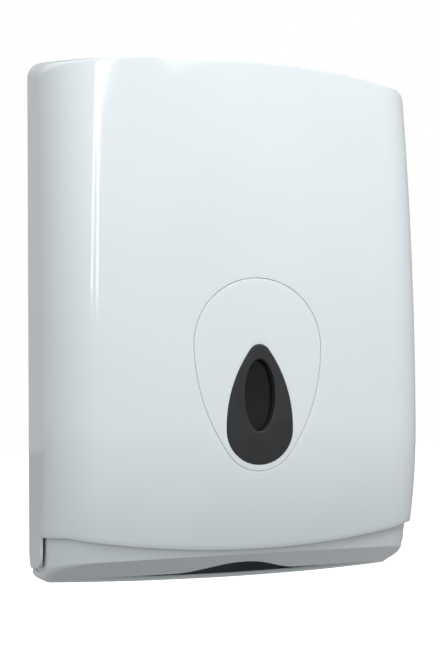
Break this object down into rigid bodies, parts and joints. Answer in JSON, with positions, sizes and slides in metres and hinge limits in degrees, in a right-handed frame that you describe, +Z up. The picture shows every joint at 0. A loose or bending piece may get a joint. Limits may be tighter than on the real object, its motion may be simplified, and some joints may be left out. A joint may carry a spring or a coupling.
{
  "type": "folded paper towel dispenser",
  "caption": "Wall-mounted dispenser for folded paper towels: hinged glossy cover with arched top, teardrop sight window, key lock, and a tray with a wavy dispensing slot.",
  "frame": {"origin": "centre of the four wall fixing holes, on the wall plane", "axes": "+X to the right seen from the front, the front faces -Y and the wall is at y = 0, +Z up"},
  "size_m": [0.286, 0.1264, 0.4057],
  "materials": {
    "white_abs_gloss": "glossy injection-moulded ABS, smooth, with faint sink marks",
    "white_abs_matte": "fine spark-eroded ABS on the inner mouldings",
    "dark_grey_abs": "satin dark grey moulded ABS",
    "smoked_clear": "smoked clear polycarbonate, polished",
    "natural_acetal": "natural acetal, turned",
    "spring_steel": "bright spring steel strip",
    "zinc_steel": "bright zinc plated steel",
    "chromed_zinc": "chrome plated zinc die casting"
  },
  "bodies": {
    "wall_unit": {"back_plate": "white_abs_matte", "base_tray": "white_abs_gloss", "tray_screws": "zinc_steel", "towel_guide_right": "white_abs_matte", "towel_guide_left": "white_abs_matte", "guide_screws": "zinc_steel", "hinge_pin_right": "zinc_steel", "hinge_pin_left": "zinc_steel", "lock_keeper": "zinc_steel", "keeper_screws": "zinc_steel"},
    "cover": {"front_cover": "white_abs_gloss", "window_panel": "white_abs_gloss", "teardrop_bezel": "dark_grey_abs", "sight_lens": "smoked_clear", "lens_frame": "white_abs_gloss", "panel_retainers": "spring_steel", "bezel_retainers": "spring_steel", "hinge_bush_right": "natural_acetal", "hinge_bush_left": "natural_acetal", "lock_body": "chromed_zinc", "lock_nut": "zinc_steel"},
    "lock": {"lock_plug": "chromed_zinc", "lock_tongue": "zinc_steel", "tongue_screw": "zinc_steel"}
  },
  "joints": [
    {"name": "cover_hinge", "type": "hinge", "parent": "wall_unit", "child": "cover", "pos_m": [0, -0.012, -0.19], "axis": [1, 0, 0], "range_deg": [0, 95]},
    {"name": "lock_turn", "type": "hinge", "parent": "cover", "child": "lock", "pos_m": [0, -0.03, 0.1], "axis": [0, 0, -1], "range_deg": [0, 90]}
  ]
}
